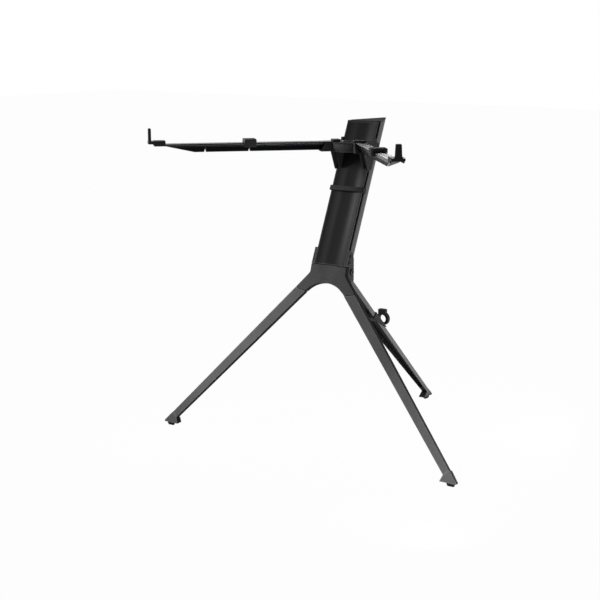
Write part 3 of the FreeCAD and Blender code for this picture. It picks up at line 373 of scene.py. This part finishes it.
def shell_faces(rings, start):
    """Quads between neighbouring rings, and one face to close each end, counted from start."""
    count, around = rings.shape[:2]
    grid = start + np.arange(count * around).reshape(count, around)
    beside = np.roll(grid, -1, axis=1)
    quads = np.stack((grid[:-1], beside[:-1], beside[1:], grid[1:]), axis=-1).reshape(-1, 4)
    return quads.tolist() + [grid[0, ::-1].tolist(), grid[-1].tolist()]


def moulding(node, shells, finish):
    """One piece from closed shells in the stand's frame, which stands for the frame's solid of that name."""
    starts = np.cumsum([0] + [rings.shape[0] * rings.shape[1] for rings in shells])
    faces = [face for rings, start in zip(shells, starts.tolist()) for face in shell_faces(rings, start)]
    points = (np.concatenate([rings.reshape(-1, 3) for rings in shells]) + SEAM) * MM
    mesh = bpy.data.meshes.new(node + "_form")
    mesh.from_pydata(points.tolist(), [], faces)
    work = bmesh.new()
    work.from_mesh(mesh)
    bmesh.ops.recalc_face_normals(work, faces=work.faces)
    work.to_mesh(mesh)
    work.free()
    mesh.shade_smooth()
    mesh.set_sharp_from_angle(angle=MOULD_CREASE)
    mesh.materials.append(finish)
    stands_for(bpy.data.objects.new(node + "_form", mesh), node)


def smoothed(finish, *nodes):
    """Gives a finish to copies of the frame's curved solids, merged and shaded smooth across their facets.

    A point's normal is the mean of the faces round it, weighted by their areas, so flat faces stay flat.
    """
    for node in nodes:
        mesh = frame["nodes"][node].data.copy()
        mesh.name = node + "_smooth"
        mesh.materials.clear()
        mesh.materials.append(finish)
        work = bmesh.new()
        work.from_mesh(mesh)
        bmesh.ops.remove_doubles(work, verts=work.verts, dist=0.01 * MM)
        work.to_mesh(mesh)
        work.free()
        mesh.shade_smooth()
        mesh.set_sharp_from_angle(angle=SOLID_CREASE)
        piece = bpy.data.objects.new(node + "_smooth", mesh)
        weighted = piece.modifiers.new("flat faces stay flat", "WEIGHTED_NORMAL")
        weighted.keep_sharp = True
        stands_for(piece, node)


def wear(finish, *nodes):
    """Gives the frame's own solids a finish."""
    for node in nodes:
        mesh = frame["nodes"][node].data
        mesh.materials.clear()
        mesh.materials.append(finish)


# Materials

def add(tree, kind, inputs=None, **settings):
    """One node: settings are its own, and inputs are values or links for its sockets, by name or number."""
    made = tree.nodes.new(kind)
    for key, value in settings.items():
        setattr(made, key, value)
    for key, value in (inputs or {}).items():
        if isinstance(value, bpy.types.NodeSocket):
            tree.links.new(value, made.inputs[key])
        else:
            made.inputs[key].default_value = value
    return made


def material(name):
    """An empty node material, and its tree."""
    made = bpy.data.materials.new(name)
    made.use_nodes = True
    made.node_tree.nodes.clear()
    return made, made.node_tree


def dappled(tree, pattern, rgb, spread):
    """A colour that wanders by spread either side of rgb, as pattern goes from 0.25 to 0.75.

    A mix node takes its two colours at its sockets 6 and 7, and gives the mixed one at its output 2.
    """
    dark, light = (tuple(c * factor for c in rgb) + (1.0,) for factor in (1.0 - spread, 1.0 + spread))
    share = add(tree, "ShaderNodeMapRange", {"Value": pattern, "From Min": 0.25, "From Max": 0.75})
    tone = add(tree, "ShaderNodeMix", {0: share.outputs["Result"], 6: dark, 7: light}, data_type="RGBA")
    return tone.outputs[2]


def lit_and_shaded_faces(tree, tone, rest, direction):
    """Painted light: tone on faces square to direction, shade colour rest on those over about 50 degrees
    away.
    """
    normal = add(tree, "ShaderNodeTexCoord").outputs["Normal"]
    cosine = add(tree, "ShaderNodeVectorMath", {0: normal, 1: direction}, operation="DOT_PRODUCT")
    either = add(tree, "ShaderNodeMath", {0: cosine.outputs["Value"]}, operation="ABSOLUTE")
    square = add(tree, "ShaderNodeMapRange", {"Value": either.outputs["Value"], "From Min": 0.62,
                                              "From Max": 0.88})
    mix = add(tree, "ShaderNodeMix", {0: square.outputs["Result"], 6: rest, 7: tone}, data_type="RGBA")
    return mix.outputs[2]


def painted_edge_highlight(tree, tone, reach, gain):
    """A colour that is up to gain times as light towards edges: a painted highlight along them.

    A point is near an edge where the normal of the shape rounded by reach departs from the face's own.
    """
    soft = add(tree, "ShaderNodeBevel", {"Radius": reach}, samples=6).outputs["Normal"]
    own = add(tree, "ShaderNodeNewGeometry").outputs["Normal"]
    cosine = add(tree, "ShaderNodeVectorMath", {0: soft, 1: own}, operation="DOT_PRODUCT")
    factor = add(tree, "ShaderNodeMapRange", {"Value": cosine.outputs["Value"], "From Min": 0.86,
                                              "From Max": 0.99, "To Min": gain, "To Max": 1.0})
    lit = add(tree, "ShaderNodeVectorMath", {0: tone, "Scale": factor.outputs["Result"]}, operation="SCALE")
    return lit.outputs["Vector"]


def extruded(name, rgb, look, turn, rough, specular, metal, edge, gain, sway):
    """Anodised aluminium, extruded: dark and satin, with fine straight die lines along the length.

    The lines are noise stretched a hundredfold along the bar. Real ones are about 0.3 mm apart; they are
    drawn wider so that they show. Broad waves across the bar, sway deep and a few centimetres apart, band
    its sheen. Within edge of an edge the colour is painted up to gain times as light, a painted highlight.
    """
    made, tree = material(name)
    place = add(tree, "ShaderNodeTexCoord").outputs["Object"]
    level = add(tree, "ShaderNodeMapping", {"Vector": place, "Rotation": turn}, vector_type="TEXTURE")
    drawn = add(tree, "ShaderNodeMapping", {"Vector": level.outputs["Vector"], "Scale": (1.0, 1.0, 0.01)})
    along = drawn.outputs["Vector"]
    lines = add(tree, "ShaderNodeTexNoise", {"Vector": along, "Scale": 1.0 / look.die_line, "Detail": 2.0})
    waves = add(tree, "ShaderNodeTexNoise", {"Vector": along, "Scale": 0.55 / look.die_wave, "Detail": 1.0})
    edges = add(tree, "ShaderNodeBevel", {"Radius": edge}, samples=8)
    wavy = add(tree, "ShaderNodeBump", {"Strength": 1.0, "Distance": sway, "Height": waves.outputs["Fac"],
                                        "Normal": edges.outputs["Normal"]})
    lined = add(tree, "ShaderNodeBump", {"Strength": 0.08, "Distance": 0.0002, "Height": lines.outputs["Fac"],
                                         "Normal": wavy.outputs["Normal"]})
    gloss = add(tree, "ShaderNodeMapRange", {"Value": lines.outputs["Fac"], "To Min": rough - 0.05,
                                             "To Max": rough + 0.05})
    tone = dappled(tree, lines.outputs["Fac"], rgb, 0.08)
    # Painted highlight: the base colour is painted lighter along edges
    shader = add(tree, "ShaderNodeBsdfPrincipled", {
        "Base Color": painted_edge_highlight(tree, tone, edge, gain), "Roughness": gloss.outputs["Result"],
        "Normal": lined.outputs["Normal"], "Specular IOR Level": specular, "Metallic": metal})
    add(tree, "ShaderNodeOutputMaterial", {"Surface": shader.outputs["BSDF"]})
    return made


def grained(name, rgb, look, grain, depth, rough, specular, shade_reach, gain=1.0, painted_lit=None, shaded_sides=None):
    """A coat or moulding with a grain: round bumps of one size, a little lighter on their tops.

    Real grain is about half a millimetre; it is drawn coarser so that it shows. Seams and inside corners
    near other walls are painted darker as painted shade, and edges are painted gain times as light as a
    painted highlight. Given a direction, faces square to it take the lit colour rgb and the others the
    painted shade colour for the sides, as lit and shaded colours of one coat.
    """
    made, tree = material(name)
    place = add(tree, "ShaderNodeTexCoord").outputs["Object"]
    bumps = add(tree, "ShaderNodeTexNoise", {"Vector": place, "Scale": 1.0 / grain, "Detail": 2.5,
                                             "Roughness": 0.6})
    # Clouds about 7 cm wide keep large faces from looking even
    cloud = add(tree, "ShaderNodeTexNoise", {"Vector": place, "Scale": 14.0, "Detail": 2.0})
    both = add(tree, "ShaderNodeMix", {0: 0.3, 2: bumps.outputs["Fac"], 3: cloud.outputs["Fac"]}).outputs[0]
    tone = dappled(tree, both, rgb, 0.26)
    # Painted light: faces square to the lit direction keep the lit colour, the others take the shade colour
    if painted_lit:
        tone = lit_and_shaded_faces(tree, tone, dappled(tree, both, shaded_sides, 0.12), painted_lit)
    # Painted highlight: edges are painted lighter
    if gain > 1.0:
        tone = painted_edge_highlight(tree, tone, look.highlight_reach, gain)
    # Painted shade: seams, inside corners and channels darken as the square of ambient occlusion
    walls = add(tree, "ShaderNodeAmbientOcclusion", {"Distance": shade_reach}, samples=6)
    shade_factor = add(tree, "ShaderNodeMath", {0: walls.outputs["AO"], 1: 2.0}, operation="POWER")
    shaded = add(tree, "ShaderNodeVectorMath", {0: tone, "Scale": shade_factor.outputs["Value"]},
                 operation="SCALE")
    edges = add(tree, "ShaderNodeBevel", {"Radius": look.edge}, samples=6)
    bump = add(tree, "ShaderNodeBump", {"Strength": 0.35, "Distance": depth, "Height": bumps.outputs["Fac"],
                                        "Normal": edges.outputs["Normal"]})
    gloss = add(tree, "ShaderNodeMapRange", {"Value": bumps.outputs["Fac"], "To Min": rough - 0.08,
                                             "To Max": rough + 0.08})
    shader = add(tree, "ShaderNodeBsdfPrincipled", {
        "Base Color": shaded.outputs["Vector"], "Roughness": gloss.outputs["Result"],
        "Normal": bump.outputs["Normal"], "Specular IOR Level": specular})
    add(tree, "ShaderNodeOutputMaterial", {"Surface": shader.outputs["BSDF"]})
    return made


def oxide_steel(name, rgb, look):
    """Black oxide on steel: a dark metal whose sheen is patchy, in patches about 4 mm wide."""
    made, tree = material(name)
    place = add(tree, "ShaderNodeTexCoord").outputs["Object"]
    patch = add(tree, "ShaderNodeTexNoise", {"Vector": place, "Scale": 260.0, "Detail": 3.0})
    edges = add(tree, "ShaderNodeBevel", {"Radius": look.edge / 2.0}, samples=6)
    gloss = add(tree, "ShaderNodeMapRange", {"Value": patch.outputs["Fac"], "To Min": 0.4, "To Max": 0.6})
    shader = add(tree, "ShaderNodeBsdfPrincipled", {
        "Base Color": dappled(tree, patch.outputs["Fac"], rgb, 0.15), "Roughness": gloss.outputs["Result"],
        "Normal": edges.outputs["Normal"], "Metallic": 0.85})
    add(tree, "ShaderNodeOutputMaterial", {"Surface": shader.outputs["BSDF"]})
    return made


class STAND_OT_column(bpy.types.Operator):
    """Finish the column"""

    bl_idname = "stand.column"
    bl_label = "Column"

    def execute(self, context):
        look = context.scene.stand_finishes
        lean = (-COLUMN_LEAN, 0.0, 0.0)
        # Satin black that shows soft bands of light down its length, and a painted highlight along its rims
        black = extruded("Black anodised aluminium", look.column, look, lean, rough=0.45, specular=0.08,
                         metal=0.0, edge=5.0 * MM, gain=8.0, sway=14.0 * MM)
        smoothed(black, "column")
        return {"FINISHED"}


class STAND_OT_base(bpy.types.Operator):
    """Finish the yoke, the three legs and their foot caps"""

    bl_idname = "stand.base"
    bl_label = "Base"

    def execute(self, context):
        look = context.scene.stand_finishes
        front = (0.0, -math.cos(YOKE_LEAN), math.sin(YOKE_LEAN))
        sideways = (1.0, 0.0, 0.0)
        grit = {"look": look, "grain": look.grit, "depth": 0.3 * MM, "rough": 0.55}
        # Powder coat is a dull, sandy grey: painted pale as lit on front faces, nearly black as shade beside
        # them
        # Edges are painted lighter as a highlight, and seams darker as shade
        legs = grained("Grey powder coat, legs", look.coat, **grit, specular=0.02, shade_reach=look.shade_reach, gain=1.6,
                       painted_lit=front, shaded_sides=look.leg_shaded_sides)
        wear(legs, "left_front_leg", "right_front_leg", "left_foot_cap", "right_foot_cap")
        yoke = grained("Grey powder coat, yoke", look.yoke, **grit, specular=0.02, shade_reach=look.shade_reach, gain=1.3,
                       painted_lit=front, shaded_sides=look.yoke_shaded_sides)
        smoothed(yoke, "front_yoke")
        # The channel under the rear leg is deep, so the shade painted into it reaches further than a seam's
        # Painted light: faces square to the sideways direction are painted lit, the others painted in shade
        rear = grained("Grey powder coat, rear leg", look.coat, **grit, specular=0.08, shade_reach=25.0 * MM,
                       gain=1.4, painted_lit=sideways, shaded_sides=look.leg_shaded_sides)
        wear(rear, "rear_leg", "rear_foot_cap")
        return {"FINISHED"}


class STAND_OT_castings(bpy.types.Operator):
    """Finish the tier bracket and the bracket of the rear leg"""

    bl_idname = "stand.castings"
    bl_label = "Castings"

    def execute(self, context):
        look = context.scene.stand_finishes
        # A rough black coat without gloss: a painted highlight along its edges, painted shade in its seams
        casting = grained("Black textured casting", look.casting, look, look.grit, depth=0.3 * MM, rough=0.6,
                          specular=0.02, shade_reach=look.shade_reach, gain=2.0)
        smoothed(casting, "tier_bracket")
        wear(casting, "rear_bracket")
        return {"FINISHED"}


class STAND_OT_arms(bpy.types.Operator):
    """Finish the two arms"""

    bl_idname = "stand.arms"
    bl_label = "Arms"

    def execute(self, context):
        look = context.scene.stand_finishes
        for side, name in SIDES:
            turn = (math.radians(90.0), 0.0, side * (math.radians(90.0) - ARM_TURN))
            # Black like the column, but glossy: it mirrors the room where it is seen at a slant
            # Its edges are painted many times lighter, a painted highlight
            black = extruded("Gloss black anodised arm " + name, look.arm, look, turn, rough=0.24,
                             specular=0.5, metal=1.0, edge=3.0 * MM, gain=22.0, sway=1.0 * MM)
            wear(black, name + "_arm")
        return {"FINISHED"}


class STAND_OT_plastics(bpy.types.Operator):
    """Finish the moulded caps, plugs, band and clip, and mould the stops at the ends of the arms"""

    bl_idname = "stand.plastics"
    bl_label = "Plastic pieces"

    def execute(self, context):
        look = context.scene.stand_finishes
        # Moulded plastics get a painted highlight along their edges and painted shade in their seams
        mould = {"look": look, "grain": look.spark, "depth": 0.15 * MM, "shade_reach": look.shade_reach, "gain": 1.8}
        # Nylon is the blackest of the plastics, ABS a shade greyer; both have a fine moulded texture
        nylon = grained("Black moulded nylon", look.nylon, **mould, rough=0.5, specular=0.1)
        wear(nylon, "stop_band", "pivot_spacers")
        smoothed(nylon, "cable_ring")
        plastic = grained("Black moulded ABS", look.plastic, **mould, rough=0.45, specular=0.1)
        wear(plastic, "left_arm_plug", "right_arm_plug")
        matt = grained("Matt black ABS", look.plastic, **mould, rough=0.8, specular=0.02)
        wear(matt, "column_top_cap")

        # A stop grips the arm's end, and its tongue, which reaches past the end, carries the peg
        start = ARM_END - 10.0
        root, end = start + 26.0, start + 42.0
        wide, thick, bend, edge, inner = 15.8, 7.3, 5.0, 1.0, 1.2
        grip = saddle_run(32.0, GRIP_TOP, 5.0, False, start, start + 28.0, edge)
        plan = rounded([(root, -wide, inner), (end, -wide, bend), (end, wide, bend), (root, wide, inner)])
        tongue = standing(carried(plan, *soft_ends(SLIDE_FIT, thick, edge)))
        upright = peg(end - 4.2, context.scene.stand_mouldings.peg_height / MM)
        shells = [on_arm(shell) for shell in (grip, tongue, upright)]
        moulding("right_end_stop", shells, plastic)
        moulding("left_end_stop", [mirrored(shell) for shell in shells], plastic)
        return {"FINISHED"}


class STAND_OT_pads(bpy.types.Operator):
    """Mould the rubber pads on the arms and under the feet"""

    bl_idname = "stand.pads"
    bl_label = "Pads and feet"

    def execute(self, context):
        look = context.scene.stand_finishes
        moulds = context.scene.stand_mouldings
        # Painted shade: seams round the pads and feet are painted darker
        matt = {"look": look, "grain": look.spark, "depth": 0.2 * MM, "rough": 0.75, "specular": 0.08,
                "shade_reach": look.shade_reach}
        # Rubber is matt and even: a paler grey on the arms, as painted light, and black under the feet
        soft = grained("Dark rubber", look.pad, **matt)
        rubber = grained("Black rubber", look.rubber, **matt)

        wide, top, skirt, edge = 39.0, 9.3, 10.3, 1.6
        half = moulds.pad_length / MM / 2.0
        right, left = (on_arm(saddle_run(wide, top, skirt, True, place - half, place + half, edge))
                       for place in (294.0, 270.5))
        moulding("right_mid_pad", [right], soft)
        moulding("left_mid_pad", [mirrored(left)], soft)

        across, low, high, below, above = 15.0, 0.1, 4.5, 1.3, 2.0
        outline = rounded([(-across, low, below), (across, low, below), (across, high, above),
                           (-across, high, above)])
        inner = on_arm(carried(outline, *soft_ends(41.0, 61.0, 1.2)))
        moulding("right_inner_pad", [inner], soft)
        moulding("left_inner_pad", [mirrored(inner)], soft)

        for node in ("left_foot_pad", "right_foot_pad", "rear_foot_pad"):
            low, high = (np.array(corner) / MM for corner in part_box(node))
            middle = (low + high) / 2.0 * (1.0, 1.0, 0.0) - SEAM
            moulding(node, [foot(high - low, moulds.tread / MM) + middle], rubber)
        return {"FINISHED"}


class STAND_OT_screws(bpy.types.Operator):
    """Turn the screws and the pivot pin"""

    bl_idname = "stand.screws"
    bl_label = "Screws"

    def execute(self, context):
        look = context.scene.stand_finishes
        moulds = context.scene.stand_mouldings
        steel = oxide_steel("Black oxide steel", look.steel, look)
        head, socket = moulds.head / MM, moulds.socket / MM
        backwards = turned(2, math.radians(90.0))
        column = turned(0, -COLUMN_LEAN)
        yoke = turned(0, -YOKE_LEAN)
        leg = yoke @ turned(1, -LEG_SPLAY)
        arm = turned(2, -ARM_TURN)
        on_cheek = [column @ (0.0, 9.0, up) + (CHEEK_OUTER, 0.0, 0.0) for up in (13.0, 29.0)]
        on_socket = [arm @ (SOCKET_END - back, 17.2, -11.825) + ARM_VERTEX for back in (4.0, 16.0)]
        # A group's screws: length of the shank, which way the heads face, and where they sit on the right
        groups = {
            "bracket_screws": (12.6, np.eye(3), on_cheek),
            "yoke_screws": (13.8, yoke @ backwards, [yoke @ (38.1, 19.0, -24.5)]),
            "leg_screws": (7.5, yoke @ backwards, [yoke @ LEG_TOP + leg @ (0.0, 12.411, -22.5)]),
            "arm_screws": (13.0, arm @ backwards, on_socket),
        }
        for node, (shank, turn, places) in groups.items():
            form = socket_screw(shank, head, socket) @ turn.T
            right = [form + place for place in places]
            moulding(node, right + [mirrored(shell) for shell in right], steel)
        pin = two_headed_pin(CHEEK_OUTER, head=7.0, shank=4.0, across=6.0)
        moulding("pivot_pin", [pin + PIN], steel)
        return {"FINISHED"}


# Stage

def lamp(name, place, target, width, height, watts, spread=180.0):
    """A soft lamp that faces target, and whose light fans out over spread degrees."""
    light = bpy.data.lights.new(name, "AREA")
    light.shape = "RECTANGLE"
    light.size = width
    light.size_y = height
    light.energy = watts
    light.spread = math.radians(spread)
    made = bpy.data.objects.new(name, light)
    made.location = place
    made.rotation_euler = (Vector(target) - Vector(place)).to_track_quat("-Z", "Y").to_euler()
    made.visible_camera = False
    bpy.context.scene.collection.objects.link(made)


def seen_white(tree, low, high):
    """A strength that is high for the rays that show the background, and low for those that light the object.

    The first are camera, glossy and transmission rays.
    """
    path = add(tree, "ShaderNodeLightPath").outputs
    shown = add(tree, "ShaderNodeMath", {0: path["Is Camera Ray"], 1: path["Is Glossy Ray"]},
                operation="MAXIMUM")
    shown = add(tree, "ShaderNodeMath", {0: shown.outputs["Value"], 1: path["Is Transmission Ray"]},
                operation="MAXIMUM")
    level = add(tree, "ShaderNodeMapRange", {"Value": shown.outputs["Value"], "To Min": low, "To Max": high})
    return level.outputs["Result"]


class STAND_OT_stage(bpy.types.Operator):
    """Set up the floor, the lamps, the room and the camera"""

    bl_idname = "stand.stage"
    bl_label = "Stage"

    def execute(self, context):
        scene = context.scene
        stage = scene.stand_stage
        scene.view_settings.view_transform = "Standard"

        mesh = bpy.data.meshes.new("floor")
        reach = 12.0
        corners = [(-reach, -reach, 0.0), (reach, -reach, 0.0), (reach, reach, 0.0), (-reach, reach, 0.0)]
        mesh.from_pydata(corners, [], [(0, 1, 2, 3)])
        floor = bpy.data.objects.new("floor", mesh)
        floor.location = (0.0, 0.0, -0.0005)
        scene.collection.objects.link(floor)
        paper, tree = material("White paper sweep")
        matt = add(tree, "ShaderNodeBsdfPrincipled", {"Base Color": tuple(stage.floor) + (1.0,),
                                                      "Roughness": 0.9, "Specular IOR Level": 0.1})
        glow = add(tree, "ShaderNodeEmission", {"Color": (1.0, 1.0, 1.0, 1.0), "Strength": 1.0})
        mix = add(tree, "ShaderNodeMixShader", {0: seen_white(tree, 0.0, 0.98), 1: matt.outputs["BSDF"],
                                                2: glow.outputs["Emission"]})
        add(tree, "ShaderNodeOutputMaterial", {"Surface": mix.outputs["Shader"]})
        mesh.materials.append(paper)

        world = bpy.data.worlds.new("Studio room")
        world.use_nodes = True
        tree = world.node_tree
        tree.nodes.clear()
        room = add(tree, "ShaderNodeBackground", {"Color": (1.0, 1.0, 1.0, 1.0),
                                                  "Strength": seen_white(tree, stage.room, 1.0)})
        add(tree, "ShaderNodeOutputWorld", {"Surface": room.outputs["Background"]})
        scene.world = world

        lamp("left_lamp", (-0.62, -0.8, 0.5), (-0.3, -0.26, 0.24), 0.3, 0.3, stage.left, 70.0)
        lamp("right_lamp", (0.62, -0.62, 0.09), (0.3, -0.28, 0.12), 0.12, 0.12, stage.right, 120.0)
        lamp("rear_lamp", (0.55, 0.3, 0.2), (0.0, 0.1, 0.3), 0.25, 0.25, stage.rear)
        lamp("strip_lamp", (-0.72, -0.45, 0.99), (0.0, 0.02, 0.62), 0.1, 0.3, stage.strip, 60.0)
        lamp("back_lamp", (-0.45, 0.9, 1.3), (0.25, -0.25, 0.75), 0.3, 0.3, stage.back, 60.0)
        lamp("top_lamp", (0.1, 0.2, 2.4), (0.0, -0.1, 0.45), 1.5, 1.5, stage.top)

        camera = bpy.data.cameras.new("camera")
        camera.lens = stage.lens
        camera.sensor_width = 36.0
        camera.clip_end = 50.0
        view = bpy.data.objects.new("camera", camera)
        view.location = stage.camera_place
        view.rotation_euler = stage.camera_turn
        scene.collection.objects.link(view)
        scene.camera = view
        return {"FINISHED"}


class STAND_PT_panel(bpy.types.Panel):
    """The stand's pieces and finishes"""

    bl_idname = "STAND_PT_panel"
    bl_label = "Keyboard stand"
    bl_space_type = "VIEW_3D"
    bl_region_type = "UI"
    bl_category = "Stand"

    def draw(self, context):
        scene = context.scene
        for group in (scene.stand_finishes, scene.stand_mouldings, scene.stand_stage):
            column = self.layout.column()
            for key in group.__annotations__:
                column.prop(group, key)
        for operator in OPERATORS:
            self.layout.operator(operator.bl_idname)


OPERATORS = (STAND_OT_column, STAND_OT_base, STAND_OT_castings, STAND_OT_arms, STAND_OT_plastics,
             STAND_OT_pads, STAND_OT_screws, STAND_OT_stage)
CLASSES = (StandFinishes, StandMouldings, StandStage) + OPERATORS + (STAND_PT_panel,)


def register():
    for cls in CLASSES:
        bpy.utils.register_class(cls)
    bpy.types.Scene.stand_finishes = PointerProperty(type=StandFinishes)
    bpy.types.Scene.stand_mouldings = PointerProperty(type=StandMouldings)
    bpy.types.Scene.stand_stage = PointerProperty(type=StandStage)


def unregister():
    del bpy.types.Scene.stand_finishes
    del bpy.types.Scene.stand_mouldings
    del bpy.types.Scene.stand_stage
    for cls in reversed(CLASSES):
        bpy.utils.unregister_class(cls)


def main():
    register()
    bpy.ops.stand.column()
    bpy.ops.stand.base()
    bpy.ops.stand.castings()
    bpy.ops.stand.arms()
    bpy.ops.stand.plastics()
    bpy.ops.stand.pads()
    bpy.ops.stand.screws()
    bpy.ops.stand.stage()


if __name__ == "__main__":
    main()
